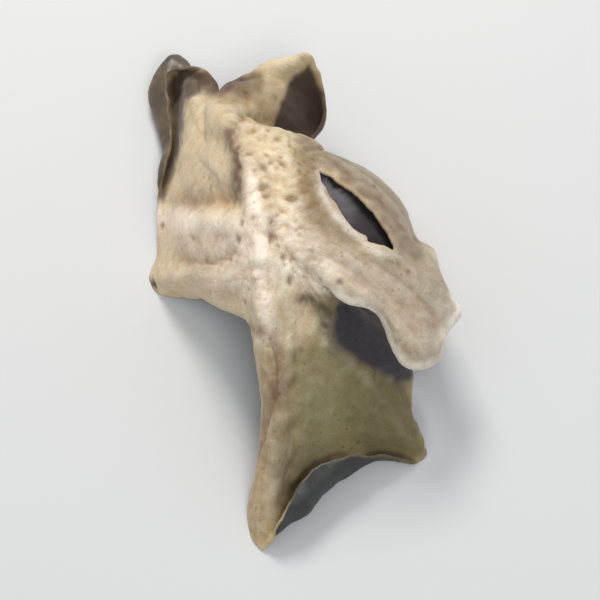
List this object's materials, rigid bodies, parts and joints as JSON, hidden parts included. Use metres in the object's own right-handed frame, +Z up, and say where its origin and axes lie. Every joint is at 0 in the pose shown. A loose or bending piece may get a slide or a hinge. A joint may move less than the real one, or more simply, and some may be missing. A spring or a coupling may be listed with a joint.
{
  "type": "dried wood ear mushroom",
  "caption": "Whole dried wood ear: a thin crumpled sheet with curled lobes, pale suede-like outside and smooth near-black inside, lying on its edges.",
  "frame": {"origin": "middle of the bounding box's foot, on the surface that the mushroom rests on", "axes": "+Z up, +Y from the forked tail end towards the curled horns, +X towards the torn right lobe"},
  "size_m": [0.0566, 0.0958, 0.0332],
  "materials": {
    "wood_ear_skin": "matte, suede-like"
  },
  "bodies": {
    "root": {"wood_ear": "wood_ear_skin"}
  },
  "joints": []
}
